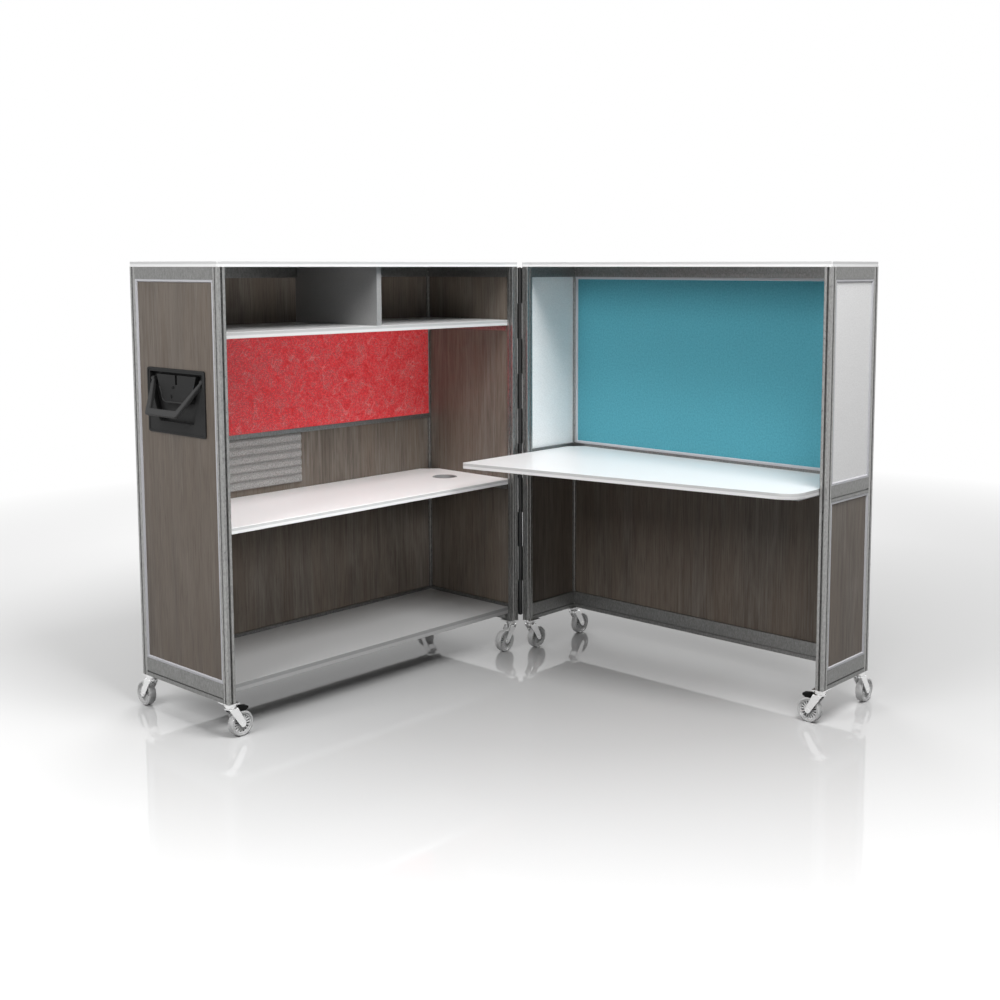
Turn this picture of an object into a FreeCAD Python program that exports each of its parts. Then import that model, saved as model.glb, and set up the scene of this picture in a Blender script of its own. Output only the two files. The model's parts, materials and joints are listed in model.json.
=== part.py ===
import FreeCAD, Part
import math
import os

from FreeCAD import Rotation, Vector

# A folding cubicle workstation: a storage bay and a desk bay of slotted aluminium posts, hinged at their
# front corner, on eight casters. Lengths are in millimetres and heights are from the floor unless a name
# says otherwise. Each bay is modelled in bay axes: a runs away from the hinge line, d from front to back.

# Frames
caster_height = 112.0
post_length = 1320.0
post_width = 27.0
storage_width = 1290.0
storage_depth = 475.0
desk_width = 1270.0
desk_depth = 295.0
hinge_gap = 10.0
closing_gap = 1.5
overrun = 5.0

# Post extrusion
slot_mouth = 7.5
slot_lip = 2.2
slot_cavity = 13.0
slot_floor = 6.0
slot_depth = 7.0
post_corner = 1.5

# Rails
top_rail_height = 38.0
mid_rail_top = 759.0
mid_rail_height = 51.0
bottom_rail_height = 61.0
rail_groove_width = 5.0
rail_groove_depth = 4.0
rail_groove_share = 0.75

# Panels and the beads that hold them
panel_recess = 5.0
panel_thickness = 12.0
bead_width = 9.0
bead_depth = 4.0
bead_slope = 2.5
tack_back_thickness = 4.0
teal_board_thickness = 9.0

# Top caps
cap_thickness = 16.0
cap_corner = 3.0

# Storage bay interior
top_shelf_drop = 194.0
shelf_thickness = 20.0
divider_thickness = 20.0
red_board_bottom = 859.0
red_board_thickness = 10.0
board_rail_height = 12.0
board_rail_depth = 12.0
board_rail_lip = 4.0
slat_count = 7
slat_gap = 5.0
slat_back = 5.0
slat_edge = 5.0
slat_bulge = 4.0
slat_panel_width = 614.0
slat_panel_above_desk = 22.8
storage_desk_top = 647.0
desk_clip_width = 53.0
desk_clip_depth = 54.0
bottom_shelf_top = 162.0
bottom_shelf_thickness = 25.0
cleat_leg = 20.0
cleat_thickness = 2.0
cleat_end_gap = 14.0

# Cable grommet in the storage desk
grommet_setback = 248.5
grommet_inset = 138.0
grommet_bore = 40.0
grommet_wall = 2.7
grommet_hole_clearance = 0.3
grommet_flange_radius = 46.0
grommet_flange_thickness = 2.0
grommet_lip_round = 1.0
grommet_reach = 3.0

# Worktop
worktop_below_rail_top = 9.0
worktop_thickness = 19.0
worktop_end_gap = 4.0
worktop_reach_near = 350.5
worktop_reach_far = 137.5
worktop_corner_near = 12.0
worktop_corner_far = 70.0
worktop_clip = 50.0
worktop_cleat_leg = 25.0
worktop_cleat_thickness = 3.0
stiffener_width = 40.0
stiffener_thickness = 10.0
stiffener_setback = 55.0

# Hinge
hinge_bottom_gap = 20.0
hinge_top_gap = 4.0
hinge_pin_radius = 2.5
hinge_running_gap = 0.05
knuckle_radius = 8.0
knuckle_count = 10
knuckle_gap = 0.3
leaf_thickness = 3.0
leaf_width = 26.0
pin_head_radius = 5.0
pin_head_height = 2.0

# Handle, with its housing in the outer storage panel
housing_width = 311.0
housing_height = 203.0
housing_corner = 8.0
housing_lap = 8.0
flange_thickness = 3.0
rim_width = 6.0
rim_rise = 1.5
recess_depth = 18.0
tray_wall = 3.0
pivot_drop = 347.0
pivot_below_housing_top = 36.0
pivot_inset = 24.5
pivot_depth = 11.0
pivot_pin_radius = 4.0
pivot_running_gap = 0.05
pivot_pin_hold = 5.0
pivot_hole_end_gap = 0.5
bail_length = 113.0
bail_thickness = 12.0
bail_arm_width = 14.0
bail_boss_radius = 8.0
bail_edge = 2.0
arm_lean = 54.5
grip_height = 22.0
grip_corner = 10.0
bail_clearance = 6.0
recess_above_boss = 16.0
bail_side_clearance = 3.0
ear_height = 12.0
bail_angle = 31.0
island_top_gap = 24.0
island_bottom_gap = 3.5
island_rise = 16.0
island_drop = 72.0
island_corner = 25.0
island_sink = 1.5
island_slot_width = 11.0
island_slot_height = 30.0
island_slot_depth = 8.0

# Casters
caster_inset = 20.0
plate_length = 56.0
plate_width = 40.0
plate_thickness = 3.0
head_radius = 19.0
head_foot_radius = 16.5
head_height = 12.0
head_gap = 0.3
kingpin_radius = 5.0
kingpin_gap = 0.05
kingpin_nut_radius = 8.0
kingpin_nut_height = 3.0
bolt_radius = 4.6
bolt_height = 4.0
bolt_inset = 8.0
bolt_spacing = 13.0
trail = 35.0
wheel_radius = 40.0
wheel_width = 24.0
tyre_thickness = 9.0
tyre_round = 4.0
wheel_web = 8.0
wheel_rim = 3.0
wheel_rim_width = 19.0
hub_radius = 9.0
hub_gap = 0.3
axle_radius = 4.0
axle_gap = 0.05
axle_head_radius = 6.5
axle_head_height = 1.0
fork_gap = 27.0
fork_thickness = 2.5
fork_bend = 4.5
fork_boss_radius = 10.0
fork_shoulder = 16.0

# Brake pedal
pedal_pivot_out = 14.0
pedal_pivot_rise = 47.0
pedal_pin_radius = 2.5
pedal_pin_gap = 0.05
pedal_hub_radius = 5.0
pedal_width = 22.0
pedal_reach = 57.0
pedal_pad_out = 38.0
pedal_pad_rise = 54.0
pedal_pad_thickness = 6.0
pedal_tip_drop = 3.0
brake_gap = 0.5

# Worked out from the sizes above
frame_bottom = caster_height
frame_top = caster_height + post_length
inner_face = panel_recess + panel_thickness
worktop_top = mid_rail_top - worktop_below_rail_top
tray_floor = panel_recess - flange_thickness + recess_depth
pivot_spacing = housing_width - 2 * pivot_inset
grip_length = pivot_spacing - 2 * arm_lean
island_top_width = pivot_spacing - 2 * island_top_gap
island_bottom_width = grip_length - 2 * island_bottom_gap
slat_panel_top = red_board_bottom - board_rail_height
slat_pitch = (slat_panel_top - storage_desk_top - slat_panel_above_desk) / slat_count
up = Vector(0, 0, 1)
origin = Vector(0, 0, 0)


class Side:
    """One side of a bay: s runs along it between the posts, w inward from its outer plane."""

    def __init__(self, corner, along, inward, run):
        self.corner = corner
        self.along = along
        self.inward = inward
        self.run = run

    def at(self, s, w, z):
        return self.corner + self.along * s + self.inward * w + up * z

    def block(self, s, w, z):
        """Box between the pairs of limits s, w and z."""
        outline = [self.at(s[0], w[0], z[0]), self.at(s[1], w[0], z[0])]
        outline += [self.at(s[1], w[1], z[0]), self.at(s[0], w[1], z[0])]
        return prism(outline, up * (z[1] - z[0]))

    def strip(self, section, s):
        """Bar along the side with a section of (w, z) points."""
        return prism([self.at(s[0], w, z) for w, z in section], self.along * (s[1] - s[0]))

    def plate(self, corners, w):
        """Plate facing outward, outlined by (s, z, radius) corners, between two depths."""
        wire = rounded_wire([(self.at(s, w[0], z), radius) for s, z, radius in corners])
        return Part.Face(wire).extrude(self.inward * (w[1] - w[0]))


class Bay:
    """The frame of one bay and its three sides."""

    def __init__(self, width, depth, is_storage):
        self.near = hinge_gap
        self.far = hinge_gap + width
        self.front = closing_gap
        self.back = closing_gap + depth
        self.is_storage = is_storage
        side_run = depth - 2 * post_width
        side_start = self.front + post_width
        self.near_side = Side(Vector(self.near, side_start, 0), Vector(0, 1, 0), Vector(1, 0, 0), side_run)
        self.far_side = Side(Vector(self.far, side_start, 0), Vector(0, 1, 0), Vector(-1, 0, 0), side_run)
        back_corner = Vector(self.near + post_width, self.back, 0)
        back_run = width - 2 * post_width
        self.back_side = Side(back_corner, Vector(1, 0, 0), Vector(0, -1, 0), back_run)
        self.sides = [self.near_side, self.far_side, self.back_side]

    def place(self, shape):
        """Move a shape from bay axes to the hinge axes of the whole object."""
        if self.is_storage:
            return shape.mirror(origin, Vector(1, 0, 0))
        turned = shape.copy()
        turned.rotate(origin, up, -90)
        return turned

    def place_point(self, a, d, z):
        if self.is_storage:
            return Vector(-a, d, z)
        return Vector(d, -a, z)


storage = Bay(storage_width, storage_depth, True)
desk = Bay(desk_width, desk_depth, False)


# Basic forms

def prism(points, direction):
    """Extrude the closed outline through points."""
    return Part.Face(Part.makePolygon(points + [points[0]])).extrude(direction)


def box(a, d, z):
    """Box between the pairs of limits a, d and z in bay axes."""
    return Part.makeBox(a[1] - a[0], d[1] - d[0], z[1] - z[0], Vector(a[0], d[0], z[0]))


def rounded_wire(corners):
    """Closed wire through (point, radius) corners, each radius an arc tangent to both of its sides."""
    edges = []
    ends = []
    for index, (point, radius) in enumerate(corners):
        before = (corners[index - 1][0] - point).normalize()
        after = (corners[(index + 1) % len(corners)][0] - point).normalize()
        if radius == 0:
            ends.append((point, point))
            continue
        half = before.getAngle(after) / 2
        leg = radius / math.tan(half)
        middle = point + (before + after).normalize() * (radius / math.sin(half) - radius)
        start = point + before * leg
        end = point + after * leg
        ends.append((start, end))
        edges.append(Part.Arc(start, middle, end).toShape())
    for index in range(len(corners)):
        leaving = ends[index][1]
        arriving = ends[(index + 1) % len(corners)][0]
        edges.append(Part.makeLine(leaving, arriving))
    return Part.Wire(Part.__sortEdges__(edges))


def revolved(profile, axis):
    """Solid of revolution about an axis through the origin."""
    wire = Part.makePolygon(profile + [profile[0]])
    return Part.Face(wire).revolve(origin, axis, 360)


def rectangle(centre_s, centre_z, width, height, radius):
    """Corners of an upright rectangle for Side.plate."""
    low_s = centre_s - width / 2
    high_s = centre_s + width / 2
    low_z = centre_z - height / 2
    high_z = centre_z + height / 2
    corners = [(low_s, low_z), (high_s, low_z), (high_s, high_z), (low_s, high_z)]
    return [(s, z, radius) for s, z in corners]


# Posts, rails and caps

def post(a, d):
    """Square extrusion with a T slot in each face, its outer corner nearest the bay corner at (a, d)."""
    half = post_width / 2
    mouth = slot_mouth / 2
    cavity = slot_cavity / 2
    floor = slot_floor / 2
    quarter_outline = [
        (half, -mouth), (half - slot_lip, -mouth), (half - slot_lip, -cavity), (half - slot_depth, -floor),
        (half - slot_depth, floor), (half - slot_lip, cavity), (half - slot_lip, mouth), (half, mouth),
        (half, half - post_corner),
    ]
    rounding = half - post_corner + post_corner * math.cos(math.pi / 4)
    edges = []
    for quarter in range(4):
        turn = Rotation(up, 90 * quarter)
        points = [turn.multVec(Vector(x, y, 0)) for x, y in quarter_outline]
        corner_middle = turn.multVec(Vector(rounding, rounding, 0))
        corner_end = turn.multVec(Vector(half - post_corner, half, 0))
        next_start = turn.multVec(Vector(mouth, half, 0))
        for first, second in zip(points, points[1:]):
            edges.append(Part.makeLine(first, second))
        edges.append(Part.Arc(points[-1], corner_middle, corner_end).toShape())
        edges.append(Part.makeLine(corner_end, next_start))
    solid = Part.Face(Part.Wire(edges)).extrude(up * post_length)
    solid.translate(Vector(a, d, frame_bottom))
    return solid


def post_places(bay):
    """Post centres: near front, far front, near back, far back."""
    half = post_width / 2
    return [
        (bay.near + half, bay.front + half), (bay.far - half, bay.front + half),
        (bay.near + half, bay.back - half), (bay.far - half, bay.back - half),
    ]


def plain_rail(side):
    """Top rail with a groove along its inner face."""
    low = frame_top - top_rail_height
    groove = frame_top - top_rail_height / 2
    half = rail_groove_width / 2
    bottom = post_width - rail_groove_depth
    section = [
        (0, low), (0, frame_top), (post_width, frame_top), (post_width, groove + half),
        (bottom, groove + half), (bottom, groove - half), (post_width, groove - half), (post_width, low),
    ]
    return side.strip(section, (0, side.run))


def grooved_rail(side, low, height):
    """Rail with one groove along each face, three quarters of the way down."""
    high = low + height
    groove = high - rail_groove_share * height
    half = rail_groove_width / 2
    inner = post_width - rail_groove_depth
    section = [
        (0, low), (0, groove - half), (rail_groove_depth, groove - half), (rail_groove_depth, groove + half),
        (0, groove + half), (0, high), (post_width, high), (post_width, groove + half),
        (inner, groove + half), (inner, groove - half), (post_width, groove - half), (post_width, low),
    ]
    return side.strip(section, (0, side.run))


def top_cap(bay):
    """Board over the whole frame, flush with it, with softened upright corners."""
    corners = [
        (bay.near, bay.front), (bay.far, bay.front), (bay.far, bay.back), (bay.near, bay.back),
    ]
    wire = rounded_wire([(Vector(a, d, frame_top), cap_corner) for a, d in corners])
    return Part.Face(wire).extrude(up * cap_thickness)


# Panels and beads

def panel(side, low, high):
    return side.block((0, side.run), (panel_recess, inner_face), (low, high))


def bead_ring(side, low, high, seat, face):
    """Frame of bead round a panel: seat is the depth of the panel's face, face that of the bead's."""
    ring = side.block((0, side.run), (min(seat, face), max(seat, face)), (low, high))
    narrow = bead_width - bead_slope
    middle = (side.run / 2, (low + high) / 2)
    wires = []
    for inset, depth in ((bead_width, seat), (narrow, face)):
        corners = rectangle(middle[0], middle[1], side.run - 2 * inset, high - low - 2 * inset, 0)
        wires.append(rounded_wire([(side.at(s, depth, z), 0) for s, z, radius in corners]))
    return ring.cut(Part.makeLoft(wires, True, True))


def outer_bead(side, low, high):
    return bead_ring(side, low, high, panel_recess, panel_recess - bead_depth)


def inner_bead(side, low, high, seat):
    return bead_ring(side, low, high, seat, seat + bead_depth)


def angle_cleat(side, s, wall, top, leg, thickness):
    """Angle under a shelf: one leg against the wall at depth wall, the other under the shelf."""
    section = [
        (wall, top), (wall + leg, top), (wall + leg, top - thickness),
        (wall + thickness, top - thickness), (wall + thickness, top - leg), (wall, top - leg),
    ]
    return side.strip(section, s)


# Storage bay interior

def fitted_board(bay, top, clipped):
    """Board between the inner faces of the panels, notched round the back posts.

    A clipped board has its back corner beside the hinge cut off for cables.
    """
    near = bay.near + inner_face
    far = bay.far - inner_face
    front = bay.front + post_width
    back = bay.back - inner_face
    notch = post_width - inner_face
    outline = [(near, front), (far, front), (far, back - notch), (far - notch, back - notch)]
    outline.append((far - notch, back))
    if clipped:
        outline += [(near + desk_clip_width, back), (near, back - desk_clip_depth)]
    else:
        outline += [(near + notch, back), (near + notch, back - notch), (near, back - notch)]
    low = top - shelf_thickness
    return prism([Vector(a, d, low) for a, d in outline], up * shelf_thickness)


def grommet_centre():
    return storage.near + grommet_inset, storage.front + grommet_setback


def storage_desk():
    """Desk board with a clipped cable corner and a round cable hole, stepped for the grommet's flange."""
    board = fitted_board(storage, storage_desk_top, True)
    a, d = grommet_centre()
    low = storage_desk_top - shelf_thickness
    step = storage_desk_top - grommet_flange_thickness
    radius = grommet_bore + grommet_wall + grommet_hole_clearance
    hole = Part.makeCylinder(radius, shelf_thickness + 2 * overrun, Vector(a, d, low - overrun), up)
    seat_radius = grommet_flange_radius + grommet_hole_clearance
    seat = Part.makeCylinder(seat_radius, grommet_flange_thickness + overrun, Vector(a, d, step), up)
    return board.cut([hole, seat])


def grommet():
    """Sleeve that lines the cable hole, with a flange flush with the desk."""
    a, d = grommet_centre()
    outer = grommet_bore + grommet_wall
    low = storage_desk_top - shelf_thickness - grommet_reach
    high = storage_desk_top
    step = high - grommet_flange_thickness
    profile = [
        Vector(grommet_bore, 0, low), Vector(outer, 0, low), Vector(outer, 0, step),
        Vector(grommet_flange_radius, 0, step), Vector(grommet_flange_radius, 0, high),
        Vector(grommet_bore + grommet_lip_round, 0, high), Vector(grommet_bore, 0, high - grommet_lip_round),
    ]
    sleeve = revolved(profile, up)
    sleeve.translate(Vector(a, d, 0))
    return sleeve


def top_shelf():
    return fitted_board(storage, frame_top - top_shelf_drop, False)


def cubby_divider():
    """Upright board between the top shelf and the cap, notched under the back top rail."""
    middle = (storage.near + storage.far) / 2
    half = divider_thickness / 2
    low = frame_top - top_shelf_drop
    rail_low = frame_top - top_rail_height
    front = storage.front + post_width
    back = storage.back - inner_face
    rail = storage.back - post_width
    outline = [(front, low), (back, low), (back, rail_low), (rail, rail_low)]
    outline += [(rail, frame_top), (front, frame_top)]
    points = [Vector(middle - half, d, z) for d, z in outline]
    return prism(points, Vector(divider_thickness, 0, 0))


def red_tackboard():
    high = frame_top - top_shelf_drop - shelf_thickness
    side = storage.back_side
    return side.block((0, side.run), (inner_face, inner_face + red_board_thickness), (red_board_bottom, high))


def tackboard_rail():
    """Rail that carries the red board, with a lip up its front."""
    side = storage.back_side
    low = red_board_bottom - board_rail_height
    board_face = inner_face + red_board_thickness
    face = inner_face + board_rail_depth
    lip_top = red_board_bottom + board_rail_lip
    section = [
        (inner_face, low), (face, low), (face, lip_top), (board_face, lip_top),
        (board_face, red_board_bottom), (inner_face, red_board_bottom),
    ]
    return side.strip(section, (0, side.run))


def slat_panel():
    """Panel of horizontal slats with bowed faces, for hanging accessories."""
    side = storage.back_side
    start = side.run - slat_panel_width
    groove = inner_face + slat_back
    edge = groove + slat_edge
    high = slat_panel_top
    low = storage_desk_top + slat_panel_above_desk
    edges = [Part.makeLine(side.at(start, inner_face, low), side.at(start, inner_face, high))]
    last = side.at(start, inner_face, high)
    for index in range(slat_count):
        top = high - index * slat_pitch
        slat_low = top - slat_pitch + slat_gap
        middle = (top + slat_low) / 2
        profile = ((edge, top), (edge, slat_low), (groove, slat_low))
        corners = [side.at(start, out, height) for out, height in profile]
        bow = side.at(start, edge + slat_bulge, middle)
        edges.append(Part.makeLine(last, corners[0]))
        edges.append(Part.Arc(corners[0], bow, corners[1]).toShape())
        edges.append(Part.makeLine(corners[1], corners[2]))
        last = side.at(start, groove, top - slat_pitch)
        edges.append(Part.makeLine(corners[2], last))
    edges.append(Part.makeLine(last, edges[0].Vertexes[0].Point))
    return Part.Face(Part.Wire(edges)).extrude(side.along * slat_panel_width)


def bottom_shelf():
    near = storage.near + post_width
    far = storage.far - post_width
    low = bottom_shelf_top - bottom_shelf_thickness
    depth = (storage.front + post_width, storage.back - post_width)
    return box((near, far), depth, (low, bottom_shelf_top))


def shelf_cleats():
    """Aluminium angles on the side panels and rails under the shelves and the desk."""
    shelf_low = frame_top - top_shelf_drop - shelf_thickness
    desk_low = storage_desk_top - shelf_thickness
    bottom_low = bottom_shelf_top - bottom_shelf_thickness
    cleats = []
    for side in (storage.near_side, storage.far_side):
        span = (cleat_end_gap, side.run - cleat_end_gap)
        cleats.append(angle_cleat(side, span, inner_face, shelf_low, cleat_leg, cleat_thickness))
        cleats.append(angle_cleat(side, span, post_width, bottom_low, cleat_leg, cleat_thickness))
    span = (cleat_end_gap, storage.far_side.run - cleat_end_gap)
    cleats.append(angle_cleat(storage.far_side, span, inner_face, desk_low, cleat_leg, cleat_thickness))
    clipped_span = (cleat_end_gap, storage.near_side.run - desk_clip_depth - cleat_end_gap)
    near = storage.near_side
    cleats.append(angle_cleat(near, clipped_span, inner_face, desk_low, cleat_leg, cleat_thickness))
    back = storage.back_side
    span = (desk_clip_width + cleat_leg, back.run - cleat_end_gap - cleat_leg)
    cleats.append(angle_cleat(back, span, inner_face, desk_low, cleat_leg, cleat_thickness))
    return cleats


# Desk bay interior

def worktop():
    """Board that tapers towards its outer end, so that it clears the frame when the bays close."""
    near = desk.near + post_width + worktop_end_gap
    far = desk.far - post_width - worktop_end_gap
    back = desk.back - post_width
    low = worktop_top - worktop_thickness
    corners = [
        (near, desk.front - worktop_reach_near, worktop_corner_near),
        (far, desk.front - worktop_reach_far, worktop_corner_far),
        (far, back, 0),
        (near + worktop_clip, back, 0),
        (near, back - worktop_clip, 0),
    ]
    wire = rounded_wire([(Vector(a, d, low), radius) for a, d, radius in corners])
    return Part.Face(wire).extrude(up * worktop_thickness)


def worktop_supports():
    """Angles on the mid rails and two stiffener bars under the overhang."""
    low = worktop_top - worktop_thickness
    leg = worktop_cleat_leg
    thickness = worktop_cleat_thickness
    pieces = []
    span = (0, desk.near_side.run - worktop_clip - leg)
    pieces.append(angle_cleat(desk.near_side, span, post_width, low, leg, thickness))
    pieces.append(angle_cleat(desk.far_side, (0, desk.far_side.run - leg), post_width, low, leg, thickness))
    back = desk.back_side
    span = (worktop_end_gap + worktop_clip + leg, back.run - leg)
    pieces.append(angle_cleat(back, span, post_width, low, leg, thickness))
    near = desk.near + post_width + leg
    far = desk.far - post_width - leg
    back_end = desk.back - post_width - leg
    for start, reach in ((near, worktop_reach_near), (far - stiffener_width, worktop_reach_far)):
        depth = (desk.front - reach + stiffener_setback, back_end)
        pieces.append(box((start, start + stiffener_width), depth, (low - stiffener_thickness, low)))
    return pieces


# Hinge between the bays

def hinge_levels():
    return frame_bottom + hinge_bottom_gap, frame_top - hinge_top_gap


def hinge_leaf(bay):
    """Leaf on the post's hinge side, with every second knuckle tangent to it on the hinge line."""
    low, high = hinge_levels()
    pitch = (high - low) / knuckle_count
    leaf_face = bay.near - leaf_thickness
    inner = knuckle_radius - leaf_thickness
    leaf = box((leaf_face, bay.near), (inner, leaf_width), (low, high))
    first = 0 if bay.is_storage else 1
    for index in range(first, knuckle_count, 2):
        start = low + index * pitch + knuckle_gap / 2
        length = pitch - knuckle_gap
        barrel = Part.makeCylinder(knuckle_radius, length, Vector(0, 0, start), up)
        web = box((0, bay.near), (inner, knuckle_radius), (start, start + length))
        leaf = leaf.fuse([barrel, web])
    bore_radius = hinge_pin_radius + hinge_running_gap
    bore = Part.makeCylinder(bore_radius, high - low + 2 * overrun, up * (low - overrun), up)
    return leaf.cut(bore).removeSplitter()


def hinge_pin():
    """Pin through all knuckles with a head at each end."""
    low, high = hinge_levels()
    profile = [
        Vector(0, 0, low - pin_head_height), Vector(pin_head_radius, 0, low - pin_head_height),
        Vector(pin_head_radius, 0, low), Vector(hinge_pin_radius, 0, low),
        Vector(hinge_pin_radius, 0, high), Vector(pin_head_radius, 0, high),
        Vector(pin_head_radius, 0, high + pin_head_height), Vector(0, 0, high + pin_head_height),
    ]
    return revolved(profile, up)


# Handle

def handle_place():
    """Middle of the handle along the outer storage side, and the height of its pivots."""
    return storage.far_side.run / 2, frame_top - pivot_drop


def housing_middle():
    return frame_top - pivot_drop + pivot_below_housing_top - housing_height / 2


def tray_outline(margin):
    """Outline of the housing's tray behind its flange."""
    centre = handle_place()[0]
    width = housing_width - 2 * housing_lap + 2 * margin
    height = housing_height - 2 * housing_lap + 2 * margin
    return rectangle(centre, housing_middle(), width, height, housing_corner)


def recess_outline():
    """Funnel shaped recess that the bail folds into."""
    centre, pivot = handle_place()
    top = pivot + bail_boss_radius + recess_above_boss
    ear = pivot - ear_height
    bottom = pivot - bail_length - grip_height / 2 - bail_clearance
    wide = (pivot_spacing + bail_arm_width) / 2 + bail_side_clearance
    narrow = grip_length / 2 + bail_side_clearance + bail_arm_width
    return [
        (centre - wide, top, 0), (centre - wide, ear, 0), (centre - narrow, bottom, grip_corner),
        (centre + narrow, bottom, grip_corner), (centre + wide, ear, 0), (centre + wide, top, 0),
    ]


def island():
    """Shield that stands in the recess, with a slot down from its top edge."""
    side = storage.far_side
    centre, pivot = handle_place()
    top = pivot + island_rise
    bottom = pivot - island_drop
    outline = [
        (centre - island_top_width / 2, top, 0), (centre - island_bottom_width / 2, bottom, island_corner),
        (centre + island_bottom_width / 2, bottom, island_corner), (centre + island_top_width / 2, top, 0),
    ]
    face = panel_recess - flange_thickness + island_sink
    shield = side.plate(outline, (face, tray_floor))
    half = island_slot_width / 2
    slot = side.block((centre - half, centre + half), (face - overrun, face + island_slot_depth),
                      (top - island_slot_height, top + overrun))
    return shield.cut(slot)


def handle_housing():
    """Flanged tray with a raised rim, a funnel shaped recess, an island and two pivot holes."""
    side = storage.far_side
    centre, pivot = handle_place()
    middle = housing_middle()
    front = panel_recess - flange_thickness
    rim_outer = rectangle(centre, middle, housing_width, housing_height, housing_corner)
    flange = side.plate(rim_outer, (front, panel_recess))
    tray = side.plate(tray_outline(0), (panel_recess, tray_floor + tray_wall))
    rim_inner = rectangle(centre, middle, housing_width - 2 * rim_width, housing_height - 2 * rim_width,
                          housing_corner - rim_width / 2)
    rim = side.plate(rim_outer, (front - rim_rise, front))
    rim = rim.cut(side.plate(rim_inner, (front - rim_rise - overrun, front + overrun)))
    recess = side.plate(recess_outline(), (front - overrun, tray_floor))
    housing = flange.fuse([tray, rim]).cut(recess).fuse(island())
    wall = (pivot_spacing + bail_arm_width) / 2 + bail_side_clearance
    depth = pivot_pin_hold + pivot_hole_end_gap
    for sign in (-1, 1):
        start = side.at(centre + sign * wall, pivot_depth, pivot)
        hole = Part.makeCylinder(pivot_pin_radius + pivot_running_gap, depth, start, side.along * sign)
        housing = housing.cut(hole)
    return housing.removeSplitter()


def handle_bail():
    """Trapezoid bail with pivot pins, swung out from its recess."""
    side = storage.far_side
    centre, pivot = handle_place()
    top_half = pivot_spacing / 2
    low_half = grip_length / 2
    arm = bail_arm_width / 2
    grip = grip_height / 2
    bottom = pivot - bail_length
    outer = [
        (centre - top_half - arm, pivot, 0), (centre - low_half - arm, bottom - grip, grip_corner),
        (centre + low_half + arm, bottom - grip, grip_corner), (centre + top_half + arm, pivot, 0),
    ]
    inner = [
        (centre - top_half + arm, pivot + overrun, 0), (centre - top_half + arm, pivot, 0),
        (centre - low_half + arm, bottom + grip, grip_corner / 2),
        (centre + low_half - arm, bottom + grip, grip_corner / 2),
        (centre + top_half - arm, pivot, 0), (centre + top_half - arm, pivot + overrun, 0),
    ]
    front = pivot_depth - bail_thickness / 2
    rear = pivot_depth + bail_thickness / 2
    bail = side.plate(outer, (front, rear)).cut(side.plate(inner, (front - overrun, rear + overrun)))
    long_edges = [edge for edge in bail.Edges if not lies_inward(edge, side)]
    bail = bail.makeChamfer(bail_edge, long_edges)
    wall = (pivot_spacing + bail_arm_width) / 2 + bail_side_clearance
    for sign in (-1, 1):
        boss_start = side.at(centre + sign * (top_half - arm), pivot_depth, pivot)
        boss = Part.makeCylinder(bail_boss_radius, bail_arm_width, boss_start, side.along * sign)
        pin_length = wall + pivot_pin_hold - top_half - arm
        pin_start = side.at(centre + sign * (top_half + arm), pivot_depth, pivot)
        pin = Part.makeCylinder(pivot_pin_radius, pin_length, pin_start, side.along * sign)
        bail = bail.fuse([boss, pin])
    bail = bail.removeSplitter()
    bail.rotate(side.at(centre, pivot_depth, pivot), side.along, -bail_angle)
    return bail


def lies_inward(edge, side):
    """True for an edge that runs through the thickness, or that lies in the bail's cut top."""
    span = edge.Vertexes[-1].Point - edge.Vertexes[0].Point
    through = abs(span.dot(side.inward)) > 0
    top = handle_place()[1]
    at_top = all(abs(vertex.Point.z - top) < bail_edge / 2 for vertex in edge.Vertexes)
    return through or at_top


# Casters, built trailing towards +X with the floor at zero and the swivel axis at the origin

def caster_mount(bay, a_side, d_side):
    """Plate under a corner of the frame, with the caster's race and kingpin."""
    a_corner = bay.near if a_side > 0 else bay.far
    d_corner = bay.front if d_side > 0 else bay.back
    low = frame_bottom - plate_thickness
    plate = box(sorted((a_corner, a_corner + a_side * plate_width)),
                sorted((d_corner, d_corner + d_side * plate_length)), (low, frame_bottom))
    head_low = low - head_height
    crown_low = head_low - head_gap - fork_thickness
    nut_high = crown_low - head_gap
    nut_low = nut_high - kingpin_nut_height
    profile = [
        Vector(0, 0, low), Vector(head_radius, 0, low), Vector(head_radius, 0, low - head_height / 2),
        Vector(head_foot_radius, 0, head_low), Vector(kingpin_radius, 0, head_low),
        Vector(kingpin_radius, 0, nut_high), Vector(kingpin_nut_radius, 0, nut_high),
        Vector(kingpin_nut_radius, 0, nut_low), Vector(0, 0, nut_low),
    ]
    head = revolved(profile, up)
    head.translate(Vector(a_corner + a_side * caster_inset, d_corner + d_side * caster_inset, 0))
    return plate.fuse(head).removeSplitter()


def caster_bolts(bay, a_side, d_side):
    """Two hexagon heads under a mount's plate, into the side rail."""
    a_corner = bay.near if a_side > 0 else bay.far
    d_corner = bay.front if d_side > 0 else bay.back
    high = frame_bottom - plate_thickness
    spoke = Vector(bolt_radius, 0, 0)
    bolts = []
    for step in (0, 1):
        a = a_corner + a_side * (bolt_inset + step * bolt_spacing)
        d = d_corner + d_side * (plate_length - bolt_inset)
        middle = Vector(a, d, high)
        corners = [middle + Rotation(up, 60 * turn).multVec(spoke) for turn in range(6)]
        bolts.append(prism(corners, up * -bolt_height))
    return bolts


def crown_top():
    return frame_bottom - plate_thickness - head_height - head_gap


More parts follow.
